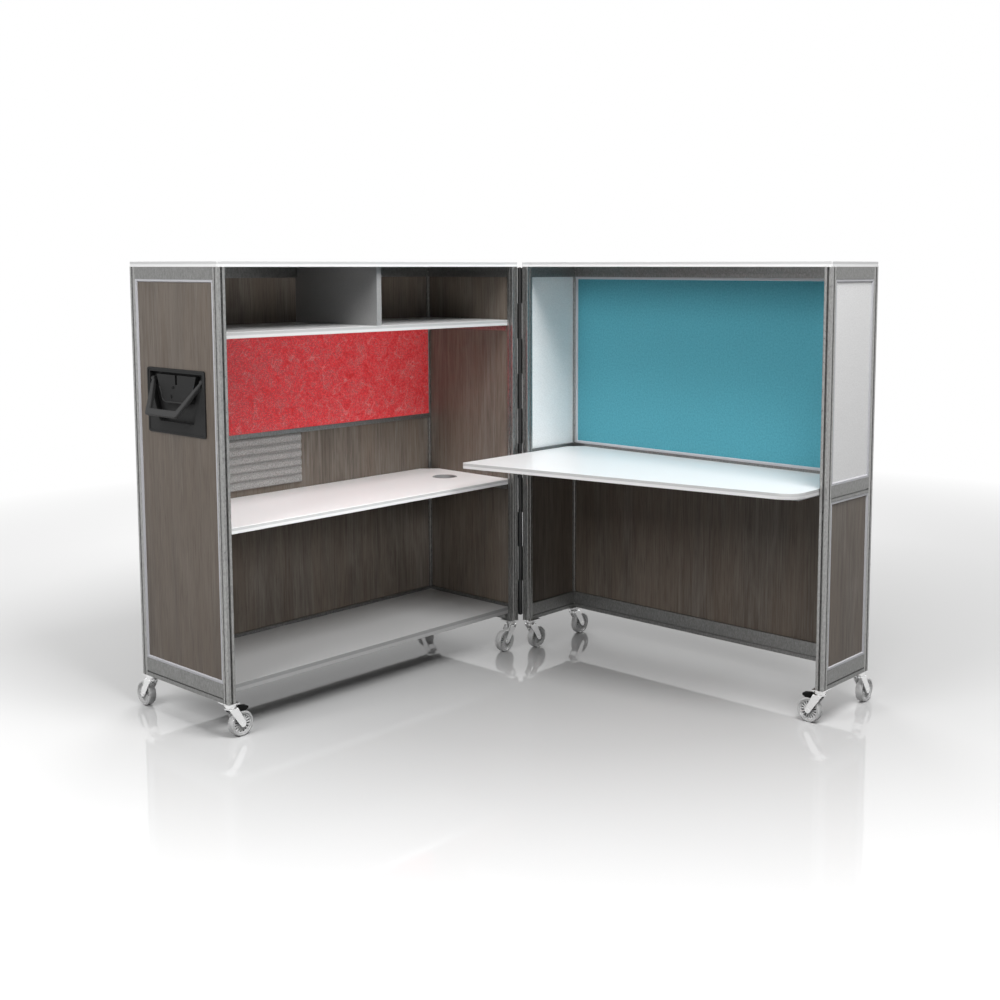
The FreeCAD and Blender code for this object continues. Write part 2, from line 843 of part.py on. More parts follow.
def leg_outline():
    """Side view of a fork leg: a crown line with tangents down to the boss round the axle."""
    top = crown_top()
    wire_points = []
    for sign in (-1, 1):
        shoulder = Vector(sign * fork_shoulder, 0, top)
        centre = Vector(trail, 0, wheel_radius)
        reach = (shoulder - centre).Length
        swing = math.degrees(math.acos(fork_boss_radius / reach))
        toward = (shoulder - centre).normalize()
        touch = centre + Rotation(Vector(0, 1, 0), sign * swing).multVec(toward) * fork_boss_radius
        wire_points.append((shoulder, touch))
    (front, front_touch), (rear, rear_touch) = wire_points
    away = (Vector(trail, 0, wheel_radius) - (front + rear) / 2).normalize()
    lowest = Vector(trail, 0, wheel_radius) + away * fork_boss_radius
    edges = [
        Part.makeLine(front, front_touch), Part.Arc(front_touch, lowest, rear_touch).toShape(),
        Part.makeLine(rear_touch, rear), Part.makeLine(rear, front),
    ]
    return Part.Wire(edges)


def caster_fork(braked):
    """Pressed fork: a bent channel cut to the outline of its legs, with a round crown and an axle bolt."""
    outer = fork_gap / 2 + fork_thickness
    top = crown_top()
    span = head_radius + trail + fork_boss_radius
    start = -head_radius
    section = [
        (Vector(start, -outer, 0), 0), (Vector(start, -outer, top), fork_bend),
        (Vector(start, outer, top), fork_bend), (Vector(start, outer, 0), 0),
    ]
    inner = outer - fork_thickness
    under = top - fork_thickness
    inner_bend = fork_bend - fork_thickness
    hollow = [
        (Vector(start, -inner, 0), 0), (Vector(start, -inner, under), inner_bend),
        (Vector(start, inner, under), inner_bend), (Vector(start, inner, 0), 0),
    ]
    along = Vector(span + overrun, 0, 0)
    channel = Part.Face(rounded_wire(section)).extrude(along)
    channel = channel.cut(Part.Face(rounded_wire(hollow)).extrude(along))
    silhouette = Part.Face(leg_outline()).extrude(Vector(0, 2 * outer + 2 * overrun, 0))
    silhouette.translate(Vector(0, -outer - overrun, 0))
    fork = channel.common(silhouette)
    crown = Part.makeCylinder(head_radius, fork_thickness, Vector(0, 0, under), up)
    kingpin_hole = Part.makeCylinder(kingpin_radius + kingpin_gap, fork_thickness + 2 * overrun,
                                     Vector(0, 0, under - overrun), up)
    fork = fork.fuse(crown).cut(kingpin_hole)
    fork = fork.cut(cross_pin(axle_radius, trail, wheel_radius, outer + overrun))
    pieces = [fork.removeSplitter(), axle(outer)]
    if braked:
        rise = pedal_pivot_rise + wheel_radius
        pieces[0] = pieces[0].cut(cross_pin(pedal_pin_radius, pedal_pivot_out, rise, outer + overrun))
        pieces.append(cross_pin(pedal_pin_radius, pedal_pivot_out, rise, outer))
    return pieces


def cross_pin(radius, out, height, half_length):
    """Cylinder across the caster."""
    return Part.makeCylinder(radius, 2 * half_length, Vector(out, -half_length, height), Vector(0, 1, 0))


def axle(outer):
    """Axle with a low head on each side of the fork."""
    shank = cross_pin(axle_radius, trail, wheel_radius, outer)
    head = cross_pin(axle_head_radius, trail, wheel_radius, outer + axle_head_height)
    between = cross_pin(axle_head_radius + overrun, trail, wheel_radius, outer)
    return shank.fuse(head.cut(between)).removeSplitter()


def caster_wheel():
    """Tyre with rounded shoulders on a core with a rim, a web and a hub."""
    across = Vector(0, 1, 0)
    half = wheel_width / 2
    seat = wheel_radius - tyre_thickness
    tyre_corners = [
        (Vector(seat, -half, 0), 0), (Vector(wheel_radius, -half, 0), tyre_round),
        (Vector(wheel_radius, half, 0), tyre_round), (Vector(seat, half, 0), 0),
    ]
    tyre = Part.Face(rounded_wire(tyre_corners)).revolve(origin, across, 360)
    rim_half = wheel_rim_width / 2
    web = wheel_web / 2
    hub_half = fork_gap / 2 - hub_gap
    bore = axle_radius + axle_gap
    profile = [
        (bore, -hub_half), (hub_radius, -hub_half), (hub_radius, -web), (seat - wheel_rim, -web),
        (seat - wheel_rim, -rim_half), (seat, -rim_half), (seat, rim_half), (seat - wheel_rim, rim_half),
        (seat - wheel_rim, web), (hub_radius, web), (hub_radius, hub_half), (bore, hub_half),
    ]
    core = revolved([Vector(x, y, 0) for x, y in profile], across)
    pieces = [tyre, core]
    for piece in pieces:
        piece.translate(Vector(trail, 0, wheel_radius))
    return pieces


def brake_pedal():
    """Pedal on a pin through the fork, with a shoe curved to the tyre and a pad to step on."""
    pivot = Vector(pedal_pivot_out, 0, pedal_pivot_rise + wheel_radius)
    pad_top = pedal_pad_rise + wheel_radius
    half = pedal_width / 2
    tip = pad_top - pedal_tip_drop
    outline = [
        (Vector(pivot.x, 0, pivot.z + pedal_hub_radius), 0),
        (Vector(pedal_pad_out, 0, pad_top), pedal_pad_thickness),
        (Vector(pedal_reach, 0, tip), 0),
        (Vector(pedal_reach, 0, tip - pedal_pad_thickness), 0),
        (Vector(pedal_pad_out, 0, wheel_radius + wheel_radius - pedal_pad_thickness), 0),
        (Vector(pivot.x, 0, pivot.z - pedal_hub_radius), 0),
    ]
    body = Part.Face(rounded_wire(outline)).extrude(Vector(0, pedal_width, 0))
    body.translate(Vector(0, -half, 0))
    hub = cross_pin(pedal_hub_radius, pivot.x, pivot.z, half)
    tyre_space = cross_pin(wheel_radius + brake_gap, trail, wheel_radius, half + overrun)
    bore = cross_pin(pedal_pin_radius + pedal_pin_gap, pivot.x, pivot.z, half + overrun)
    return body.fuse(hub).cut(tyre_space).cut(bore).removeSplitter()


class Caster:
    """One caster: its name, corner and the way it trails, in bay axes."""

    def __init__(self, name, bay, a_side, d_side, heading, braked):
        self.name = name
        self.bay = bay
        self.a_side = a_side
        self.d_side = d_side
        self.heading = heading
        self.braked = braked
        a_corner = bay.near if a_side > 0 else bay.far
        d_corner = bay.front if d_side > 0 else bay.back
        self.a = a_corner + a_side * caster_inset
        self.d = d_corner + d_side * caster_inset

    def settle(self, shape):
        """Turn a caster piece to its heading and put it under its corner."""
        piece = shape.copy()
        piece.rotate(origin, up, self.heading)
        piece.translate(Vector(self.a, self.d, 0))
        return self.bay.place(piece)

    def joint_points(self):
        """Swivel, wheel and pedal points in hinge axes."""
        turn = Rotation(up, self.heading)
        pedal_height = pedal_pivot_rise + wheel_radius
        points = []
        for out, height in ((0, crown_top()), (trail, wheel_radius), (pedal_pivot_out, pedal_height)):
            place = turn.multVec(Vector(out, 0, 0)) + Vector(self.a, self.d, 0)
            points.append(self.bay.place_point(place.x, place.y, height))
        return points


casters = [
    Caster("storage_front_outer", storage, -1, 1, 180, True),
    Caster("storage_front_hinge", storage, 1, 1, 0, False),
    Caster("storage_back_outer", storage, -1, -1, 90, False),
    Caster("storage_back_hinge", storage, 1, -1, 90, False),
    Caster("desk_front_hinge", desk, 1, 1, 90, False),
    Caster("desk_front_outer", desk, -1, 1, 180, True),
    Caster("desk_back_hinge", desk, 1, -1, 90, False),
    Caster("desk_back_outer", desk, -1, -1, 90, False),
]


# Nodes of each bay, in bay axes

def storage_nodes():
    low = frame_bottom + bottom_rail_height
    high = frame_top - top_rail_height
    posts = [post(a, d) for a, d in post_places(storage)]
    opening = storage.far_side.plate(tray_outline(0), (0, inner_face + overrun))
    return {
        "storage_post_front_hinge": [posts[0]],
        "storage_post_front_outer": [posts[1]],
        "storage_back_posts": posts[2:],
        "storage_top_rails": [plain_rail(side) for side in storage.sides],
        "storage_bottom_rails": [
            grooved_rail(side, frame_bottom, bottom_rail_height) for side in storage.sides
        ],
        "storage_outer_panel": [panel(storage.far_side, low, high).cut(opening)],
        "storage_inner_panel": [panel(storage.near_side, low, high)],
        "storage_back_panel": [panel(storage.back_side, low, high)],
        "storage_panel_beads": [outer_bead(side, low, high) for side in storage.sides],
        "storage_top_cap": [top_cap(storage)],
        "top_shelf": [top_shelf()],
        "cubby_divider": [cubby_divider()],
        "red_tackboard": [red_tackboard()],
        "tackboard_rail": [tackboard_rail()],
        "slat_panel": [slat_panel()],
        "storage_desk": [storage_desk()],
        "desk_grommet": [grommet()],
        "bottom_shelf": [bottom_shelf()],
        "shelf_cleats": shelf_cleats(),
        "handle_housing": [handle_housing()],
        "handle_bail": [handle_bail()],
        "storage_hinge_leaf": [hinge_leaf(storage)],
        "hinge_pin": [hinge_pin()],
    }


def desk_nodes():
    low = frame_bottom + bottom_rail_height
    mid_low = mid_rail_top - mid_rail_height
    high = frame_top - top_rail_height
    posts = [post(a, d) for a, d in post_places(desk)]
    levels = ((frame_bottom, bottom_rail_height), (mid_low, mid_rail_height))
    back = desk.back_side
    skin = panel_recess + tack_back_thickness
    board_face = skin + teal_board_thickness
    white = [panel(side, mid_rail_top, high) for side in (desk.near_side, desk.far_side)]
    white.append(back.block((0, back.run), (panel_recess, skin), (mid_rail_top, high)))
    beads = []
    for side in desk.sides:
        beads.append(outer_bead(side, low, mid_low))
        beads.append(outer_bead(side, mid_rail_top, high))
    beads.append(inner_bead(back, mid_rail_top, high, board_face))
    return {
        "desk_post_front_hinge": [posts[0]],
        "desk_post_front_outer": [posts[1]],
        "desk_back_posts": posts[2:],
        "desk_top_rails": [plain_rail(side) for side in desk.sides],
        "desk_grooved_rails": [
            grooved_rail(side, start, height) for start, height in levels for side in desk.sides
        ],
        "desk_upper_panels": white,
        "desk_lower_panels": [panel(side, low, mid_low) for side in desk.sides],
        "desk_panel_beads": beads,
        "teal_tackboard": [back.block((0, back.run), (skin, board_face), (mid_rail_top, high))],
        "desk_top_cap": [top_cap(desk)],
        "worktop": [worktop()],
        "worktop_supports": worktop_supports(),
        "desk_hinge_leaf": [hinge_leaf(desk)],
    }


def caster_nodes(bay, prefix):
    mounts = [caster_mount(bay, caster.a_side, caster.d_side) for caster in casters if caster.bay is bay]
    bolts = []
    for caster in casters:
        if caster.bay is bay:
            bolts += caster_bolts(bay, caster.a_side, caster.d_side)
    return {prefix + "_caster_mounts": mounts, prefix + "_caster_bolts": bolts}


def all_nodes():
    """Every node's solids in hinge axes."""
    nodes = {}
    for bay, parts in ((storage, storage_nodes()), (desk, desk_nodes())):
        parts.update(caster_nodes(bay, "storage" if bay.is_storage else "desk"))
        for name, solids in parts.items():
            nodes[name] = [bay.place(solid) for solid in solids]
    for caster in casters:
        nodes[caster.name + "_fork"] = [caster.settle(piece) for piece in caster_fork(caster.braked)]
        nodes[caster.name + "_wheel"] = [caster.settle(piece) for piece in caster_wheel()]
        if caster.braked:
            nodes[caster.name + "_pedal"] = [caster.settle(brake_pedal())]
    return nodes


def floor_centre(nodes):
    """Middle of the footprint, where the origin goes."""
    boxes = [Part.makeCompound(solids).optimalBoundingBox(False, False) for solids in nodes.values()]
    x = (min(b.XMin for b in boxes) + max(b.XMax for b in boxes)) / 2
    y = (min(b.YMin for b in boxes) + max(b.YMax for b in boxes)) / 2
    return Vector(x, y, 0)


def report_points(centre):
    """Print the places of the joints and some openings, measured from the origin."""
    def show(name, point):
        place = point - centre
        print(name, round(place.x, 3), round(place.y, 3), round(place.z, 3))
    show("hinge", Vector(0, 0, (frame_bottom + frame_top) / 2))
    side = storage.far_side
    pivot = side.at(handle_place()[0], pivot_depth, handle_place()[1])
    show("bail", storage.place_point(pivot.x, pivot.y, pivot.z))
    show("grommet", storage.place_point(grommet_centre()[0], grommet_centre()[1], storage_desk_top))
    for caster in casters:
        for kind, point in zip(("swivel", "wheel", "pedal"), caster.joint_points()):
            show(caster.name + " " + kind, point)


def write_nodes():
    os.makedirs("parts", exist_ok=True)
    nodes = all_nodes()
    centre = floor_centre(nodes)
    report_points(centre)
    for name, solids in nodes.items():
        shape = Part.makeCompound(solids) if len(solids) > 1 else solids[0]
        shape.translate(centre * -1)
        shape.exportStep("parts/" + name + ".step")
    print(len(nodes), "nodes,", sum(len(solids) for solids in nodes.values()), "solids")


write_nodes()
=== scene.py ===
import json
import math

import bmesh
import bpy
import numpy as np
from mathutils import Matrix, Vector


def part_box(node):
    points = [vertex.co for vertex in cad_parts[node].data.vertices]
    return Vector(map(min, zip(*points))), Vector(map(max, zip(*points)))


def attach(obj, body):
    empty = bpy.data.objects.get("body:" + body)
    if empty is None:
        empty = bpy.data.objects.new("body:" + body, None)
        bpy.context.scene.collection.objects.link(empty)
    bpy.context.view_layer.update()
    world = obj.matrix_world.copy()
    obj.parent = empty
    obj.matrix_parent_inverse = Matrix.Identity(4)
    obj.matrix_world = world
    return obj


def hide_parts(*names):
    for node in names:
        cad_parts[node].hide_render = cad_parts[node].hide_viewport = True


# Looks of the folding cubicle workstation, in metres in the frame of its solids. The frame's own pieces get
# their finishes. Pieces worked out here replace the wheels, both tackboards and the slat panel, and one adds
# trim inside the handle's housing.

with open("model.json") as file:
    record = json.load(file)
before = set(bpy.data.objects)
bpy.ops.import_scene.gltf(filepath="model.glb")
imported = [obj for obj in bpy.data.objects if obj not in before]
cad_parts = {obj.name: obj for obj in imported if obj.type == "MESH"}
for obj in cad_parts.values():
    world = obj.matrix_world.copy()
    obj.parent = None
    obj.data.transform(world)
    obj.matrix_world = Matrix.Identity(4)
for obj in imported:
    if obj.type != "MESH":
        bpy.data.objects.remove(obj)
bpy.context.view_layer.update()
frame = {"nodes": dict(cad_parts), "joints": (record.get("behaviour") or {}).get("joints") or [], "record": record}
nodes = frame["nodes"]
MM = 0.001


# Camera, floor and light

def make_camera(place, direction, lens, shift):
    """Camera that looks along a direction. The lens is in millimetres, the shift in widths of the picture."""
    data = bpy.data.cameras.new("camera")
    data.sensor_width = 36.0
    data.lens = lens
    data.shift_x, data.shift_y = shift
    camera = bpy.data.objects.new("camera", data)
    camera.location = place
    camera.rotation_mode = "QUATERNION"
    camera.rotation_quaternion = Vector(direction).to_track_quat("-Z", "Y")
    bpy.context.scene.collection.objects.link(camera)
    bpy.context.scene.camera = camera


def area_light(name, place, target, size, power):
    """Square soft lamp that looks at a point."""
    data = bpy.data.lights.new(name, "AREA")
    data.shape = "SQUARE"
    data.size = size
    data.energy = power
    lamp = bpy.data.objects.new(name, data)
    lamp.location = place
    lamp.rotation_mode = "QUATERNION"
    lamp.rotation_quaternion = (Vector(target) - Vector(place)).to_track_quat("-Z", "Y")
    lamp.visible_camera = False
    lamp.visible_glossy = False
    bpy.context.scene.collection.objects.link(lamp)
    return lamp


def light_only(lamp, pieces):
    """Keeps a lamp's light on the pieces given, so that a bay that swings in front of it isn't burnt out."""
    lit = bpy.data.collections.new(lamp.name + "_lit")
    for item in pieces:
        lit.objects.link(item)
    lamp.light_linking.receiver_collection = lit


def tone(red, green, blue):
    """Linear colour of a display colour given from 0 to 255."""
    levels = np.array([red, green, blue]) / 255.0
    linear = np.where(levels <= 0.04045, levels / 12.92, ((levels + 0.055) / 1.055) ** 2.4)
    return (*[float(level) for level in linear], 1.0)


def shown_rays(tree):
    """Socket that is 1 for camera, glossy and transmission rays, which show the backdrop and the floor."""
    path = tree.nodes.new("ShaderNodeLightPath")
    total = path.outputs["Is Camera Ray"]
    for name in ("Is Glossy Ray", "Is Transmission Ray"):
        add = tree.nodes.new("ShaderNodeMath")
        add.operation = "MAXIMUM"
        tree.links.new(total, add.inputs[0])
        tree.links.new(path.outputs[name], add.inputs[1])
        total = add.outputs[0]
    return total


def make_world(side_light, top_light):
    """White backdrop for what is seen, and soft light on the object that grows from the sides to the top."""
    world = bpy.data.worlds.new("studio")
    world.use_nodes = True
    tree = world.node_tree
    background = tree.nodes["Background"]
    background.inputs["Color"].default_value = (1.0, 1.0, 1.0, 1.0)
    direction = tree.nodes.new("ShaderNodeTexCoord")
    parts = tree.nodes.new("ShaderNodeSeparateXYZ")
    tree.links.new(direction.outputs["Generated"], parts.inputs["Vector"])
    light = tree.nodes.new("ShaderNodeMapRange")
    light.inputs["To Min"].default_value = side_light
    light.inputs["To Max"].default_value = top_light
    tree.links.new(parts.outputs["Z"], light.inputs["Value"])
    level = tree.nodes.new("ShaderNodeMapRange")
    level.inputs["To Max"].default_value = 1.0
    tree.links.new(shown_rays(tree), level.inputs["Value"])
    tree.links.new(light.outputs["Result"], level.inputs["To Min"])
    tree.links.new(level.outputs["Result"], background.inputs["Strength"])
    bpy.context.scene.world = world


# Finishes

class Finish:
    """One node material. Most methods add nodes and return an output socket, and the last three join a socket
    to the shader."""

    def __init__(self, name, **values):
        self.material = bpy.data.materials.new(name)
        self.material.use_nodes = True
        self.tree = self.material.node_tree
        self.shader = self.tree.nodes["Principled BSDF"]
        for socket, value in values.items():
            self.shader.inputs[socket.replace("_", " ")].default_value = value

    def add(self, kind, inputs, output=0, **settings):
        """Node of a kind with its inputs linked or set, and its output socket."""
        node = self.tree.nodes.new("ShaderNode" + kind)
        for key, value in settings.items():
            setattr(node, key, value)
        for key, value in inputs.items():
            if isinstance(value, bpy.types.NodeSocket):
                self.tree.links.new(value, node.inputs[key])
            else:
                node.inputs[key].default_value = value
        return node.outputs[output]

    def place(self, z_scale=1.0):
        """Object coordinates. A scale under 1 draws a pattern out along Z."""
        coordinates = self.add("TexCoord", {}, "Object")
        return self.add("Mapping", {"Vector": coordinates, "Scale": (1.0, 1.0, z_scale)})

    def noise(self, place, scale, detail=2.0, roughness=0.5, distortion=0.0):
        inputs = {"Vector": place, "Scale": scale, "Detail": detail, "Roughness": roughness}
        inputs["Distortion"] = distortion
        return self.add("TexNoise", inputs, "Fac")

    def ramp(self, value, *stops):
        """Colours at places along a value, given as (place, colour)."""
        node = self.tree.nodes.new("ShaderNodeValToRGB")
        elements = node.color_ramp.elements
        while len(elements) < len(stops):
            elements.new(0.5)
        for element, (place, colour) in zip(elements, stops):
            element.position = place
            element.color = colour
        self.tree.links.new(value, node.inputs["Fac"])
        return node.outputs["Color"]

    def fade(self, value, low, high, start=0.0, end=1.0):
        """Value mapped from low and high to start and end, and held there outside them."""
        inputs = {"Value": value, "From Min": low, "From Max": high, "To Min": start, "To Max": end}
        return self.add("MapRange", inputs, "Result")

    def mix(self, share, first, second):
        """Second colour over the first one, by a share from 0 to 1."""
        inputs = {0: share, 6: first, 7: second}
        return self.add("Mix", inputs, 2, data_type="RGBA")

    def sum(self, first, second):
        return self.add("Math", {0: first, 1: second}, operation="ADD")

    def product(self, first, second):
        return self.add("Math", {0: first, 1: second}, operation="MULTIPLY")

    def size(self, value):
        """Value without its sign."""
        return self.add("Math", {0: value, 1: 0.0}, operation="ABSOLUTE")

    def blend(self, first, second, share):
        """Share of the first value and the rest of the second one."""
        return self.sum(self.product(first, share), self.product(second, 1.0 - share))

    def colour(self, socket):
        self.tree.links.new(socket, self.shader.inputs["Base Color"])

    def dull(self, socket):
        self.tree.links.new(socket, self.shader.inputs["Roughness"])

    def relief(self, height, depth):
        """Bump of a height from 0 to 1 over a depth in metres."""
        normal = self.add("Bump", {"Height": height, "Distance": depth, "Strength": 1.0}, "Normal")
        self.tree.links.new(normal, self.shader.inputs["Normal"])


def grey(level):
    return tone(level, level, level)


def wood_finish():
    """Grey brown laminate: long streaks, soft figure and short dark pores, all along the upright grain."""
    finish = Finish("wood_laminate", Specular_IOR_Level=0.35)
    streaks = finish.noise(finish.place(0.02), 150.0, 7.0, 0.68)
    figure = finish.noise(finish.place(0.14), 16.0, 3.0, 0.55, 1.6)
    pores = finish.noise(finish.place(0.03), 430.0, 3.0)
    grain = finish.blend(streaks, figure, 0.62)
    dark, middle, light = tone(90, 81, 73), tone(109, 101, 93), tone(125, 118, 111)
    shades = finish.ramp(grain, (0.37, dark), (0.5, middle), (0.63, light))
    boards = finish.noise(finish.place(0.08), 11.0, 2.0)
    warm = finish.mix(finish.fade(boards, 0.42, 0.6, 0.0, 0.45), shades, tone(114, 101, 89))
    pore_share = finish.product(finish.fade(pores, 0.52, 0.68), 0.55)
    finish.colour(finish.mix(pore_share, warm, tone(74, 66, 58)))
    finish.dull(finish.fade(streaks, 0.3, 0.7, 0.42, 0.56))
    finish.relief(finish.fade(pores, 0.5, 0.72, 1.0, 0.0), 0.12 * MM)
    return finish.material


def aluminium_finish(name, middle, roughness):
    """Satin anodised aluminium round a middle tone: a mottled blasted skin with a fine speckle over it."""
    finish = Finish(name, Metallic=0.85)
    speckle = finish.noise(finish.place(), 620.0, 3.0, 0.6)
    mottle = finish.noise(finish.place(0.5), 190.0, 3.0, 0.65)
    level = finish.blend(speckle, mottle, 0.4)
    dark, usual, light = grey(middle * 0.87), tone(middle, middle, middle - 2), grey(middle * 1.12)
    finish.colour(finish.ramp(level, (0.37, dark), (0.5, usual), (0.63, light)))
    finish.dull(finish.fade(mottle, 0.3, 0.7, roughness * 0.8, roughness * 1.2))
    finish.relief(level, 0.08 * MM)
    return finish.material


def board_finish(name, middle, top_level, band_level):
    """White laminate on level faces, with an edge band round the sides that is painted a shade darker above the
    height of the board's middle than below it. The levels are display greys from 0 to 255."""
    finish = Finish(name, Specular_IOR_Level=0.5, Coat_Weight=0.15, Coat_Roughness=0.2)
    fleck = finish.noise(finish.place(), 700.0, 2.0)
    top = finish.ramp(fleck, (0.35, grey(top_level - 5)), (0.65, grey(top_level)))
    # Painted shade: the edge band's upper half is a darker copy of its lower half.
    upper = finish.ramp(fleck, (0.35, grey(band_level * 0.83)), (0.65, grey(band_level * 0.87)))
    height = finish.add("SeparateXYZ", {0: finish.add("TexCoord", {}, "Object")}, "Z")
    unshaded_lower_share = finish.fade(height, middle - 1.2 * MM, middle + 1.2 * MM, 1.0, 0.0)
    band = finish.mix(unshaded_lower_share, upper, grey(band_level))
    normal = finish.add("NewGeometry", {}, "True Normal")
    level_share = finish.fade(finish.size(finish.add("SeparateXYZ", {0: normal}, "Z")), 0.2, 0.6)
    finish.colour(finish.mix(level_share, band, top))
    finish.dull(finish.fade(fleck, 0.3, 0.7, 0.3, 0.4))
    finish.relief(fleck, 0.02 * MM)
    return finish.material


def speckled_finish(name, low, high, roughness, scale=800.0, depth=0.03, **values):
    """Even finish with a fine grain between two tones, and a faint relief whose depth is in millimetres."""
    finish = Finish(name, **values)
    grain = finish.noise(finish.place(), scale, 3.0, 0.6)
    finish.colour(finish.ramp(grain, (0.36, low), (0.64, high)))
    finish.dull(finish.fade(grain, 0.3, 0.7, roughness * 0.88, roughness * 1.12))
    finish.relief(grain, depth * MM)
    return finish.material


def red_finish():
    """Mottled red felt: small soft patches, paler lines that wander where a slow noise passes its middle, and
    fine grey flecks that crowd together in places and are thicker towards the upper outer corner."""
    finish = Finish("red_felt", Sheen_Weight=0.15, Sheen_Roughness=0.5, Specular_IOR_Level=0.15)
    finish.shader.inputs["Sheen Tint"].default_value = tone(240, 120, 120)
    flat = finish.place()
    patches = finish.noise(flat, 30.0, 4.0, 0.62, 0.8)
    tufts = finish.noise(flat, 120.0, 4.0, 0.7)
    flecks = finish.noise(flat, 330.0, 3.0, 0.7)
    level = finish.blend(patches, tufts, 0.5)
    dark, middle, light = tone(232, 58, 63), tone(255, 84, 87), tone(255, 116, 117)
    ground = finish.ramp(level, (0.38, dark), (0.5, middle), (0.62, light))
    wander = finish.sum(finish.noise(flat, 10.0, 2.0, 0.55, 0.4), -0.5)
    line = finish.fade(finish.size(wander), 0.002, 0.011, 0.8, 0.0)
    vein = finish.product(line, finish.fade(patches, 0.42, 0.56))
    veined = finish.mix(vein, ground, tone(255, 146, 146))
    upper_corner = (-0.8, 0.82, 1.25)
    away = finish.add("VectorMath", {0: flat, 1: upper_corner}, "Value", operation="DISTANCE")
    crowd = finish.sum(finish.fade(away, 0.1, 1.0, 0.15, 0.0), finish.product(patches, 0.25))
    fleck = finish.fade(finish.sum(flecks, crowd), 0.64, 0.74, 0.0, 0.62)
    finish.colour(finish.mix(fleck, veined, tone(136, 88, 92)))
    finish.shader.inputs["Roughness"].default_value = 0.85
    finish.relief(finish.sum(tufts, flecks), 0.5 * MM)
    return finish.material


def teal_finish():
    """Close teal weave: crossing threads with small changes of tone between them."""
    finish = Finish("teal_weave", Sheen_Weight=0.3, Sheen_Roughness=0.5, Specular_IOR_Level=0.2)
    finish.shader.inputs["Sheen Tint"].default_value = tone(160, 215, 225)
    flat = finish.place()
    threads = []
    for direction in ("Y", "Z"):
        inputs = {"Vector": flat, "Scale": 130.0, "Distortion": 0.6, "Detail": 1.0}
        threads.append(finish.add("TexWave", inputs, "Fac", bands_direction=direction, wave_profile="SIN"))
    weave = finish.product(*threads)
    drift = finish.noise(finish.place(), 160.0, 3.0, 0.6)
    level = finish.blend(weave, drift, 0.35)
    finish.colour(finish.ramp(level, (0.24, tone(76, 151, 168)), (0.62, tone(98, 178, 195))))
    finish.shader.inputs["Roughness"].default_value = 0.8
    finish.relief(weave, 0.25 * MM)
    return finish.material


def floor_finish(centre, shade, reach):
    """Pale glossy floor with a painted shadow about the object: darkest at the centre, it grows paler out to the
    distance of the shade, and fades to plain white between that and the reach. Light that bounces off it to
    the object is that of a mid grey."""
    finish = Finish("pale_floor", Roughness=0.05, Specular_IOR_Level=0.35)
    place = finish.add("TexCoord", {}, "Object")
    distance = finish.add("VectorMath", {0: place, 1: centre}, "Value", operation="DISTANCE")
    shown = shown_rays(finish.tree)
    # Painted shadow: floor greys that darken towards the centre, under and beside the object.
    near, between, far = grey(162), grey(200), grey(246)
    painted_shadow_tint = finish.ramp(finish.fade(distance, 0.0, shade), (0.0, near), (0.5, between), (1.0, far))
    finish.colour(finish.mix(shown, grey(120), painted_shadow_tint))
    away = finish.product(finish.fade(distance, shade, reach), shown)
    glow = finish.add("Emission", {"Color": grey(255), "Strength": 1.0})
    blend = finish.add("MixShader", {0: away, 1: finish.shader.outputs[0], 2: glow})
    finish.tree.links.new(blend, finish.tree.nodes["Material Output"].inputs["Surface"])
    return finish.material


wood = wood_finish()
post_aluminium = aluminium_finish("post_aluminium", 158, 0.34)
rail_aluminium = aluminium_finish("rail_aluminium", 136, 0.42)
red_felt = red_finish()
teal_weave = teal_finish()
bead_white = speckled_finish("bead_strip", tone(196, 196, 200), tone(208, 208, 213), 0.45)
white_panel = speckled_finish("white_sheet", grey(238), grey(250), 0.38, 260.0)
# The divider is the white laminate painted mid grey, as painted shade.
divider_shade_grey = speckled_finish("divider_painted_shade", grey(150), grey(172), 0.45, 420.0)
slat_grey = speckled_finish("slat_grey", tone(126, 124, 122), tone(168, 166, 164), 0.6, 320.0, 0.05)
grommet_grey = speckled_finish("grommet_grey", grey(150), grey(162), 0.5)
handle_black = speckled_finish("handle_plastic", grey(34), grey(44), 0.6, 900.0, 0.06, Specular_IOR_Level=0.2)
bail_grey = speckled_finish("bail_powder_coat", grey(48), grey(60), 0.55, 1100.0, 0.05,
                            Specular_IOR_Level=0.25)
hinge_black = speckled_finish("hinge_black", grey(22), grey(30), 0.45, 900.0, 0.04)
chrome = speckled_finish("caster_chrome", grey(240), grey(250), 0.1, 300.0, 0.005, Metallic=1.0)
bolt_steel = speckled_finish("bolt_steel", grey(150), grey(176), 0.35, 700.0, 0.03, Metallic=1.0)
pedal_black = speckled_finish("pedal_plastic", grey(14), grey(22), 0.6, 900.0, 0.05, Specular_IOR_Level=0.15)
support_grey = speckled_finish("support_coat", grey(172), grey(184), 0.5, 900.0, 0.04)
tyre_clear = speckled_finish("tyre_polyurethane", grey(226), grey(240), 0.14, 300.0, 0.01,
                             Transmission_Weight=0.35, IOR=1.46)
core_grey = speckled_finish("wheel_core", grey(206), grey(224), 0.2, 500.0, 0.02)
bearing_dark = speckled_finish("bearing_cover", grey(24), grey(36), 0.35, 700.0, 0.02, Metallic=0.3)

# Finish of each material slot of the record. The white boards and rails that are listed below have their own.
node_finishes = {
    "aluminium": post_aluminium, "wood_panel": wood, "bead": bead_white, "white_panel": white_panel,
    "white_board": divider_shade_grey, "red_fabric": red_felt, "teal_fabric": teal_weave, "slat_grey": slat_grey,
    "grommet_plastic": grommet_grey, "handle_plastic": handle_black, "bail_paint": bail_grey,
    "hinge_black": hinge_black, "caster_chrome": chrome, "bolt_steel": bolt_steel, "wheel_grey": tyre_clear,
    "pedal_plastic": pedal_black, "support_steel": support_grey,
}
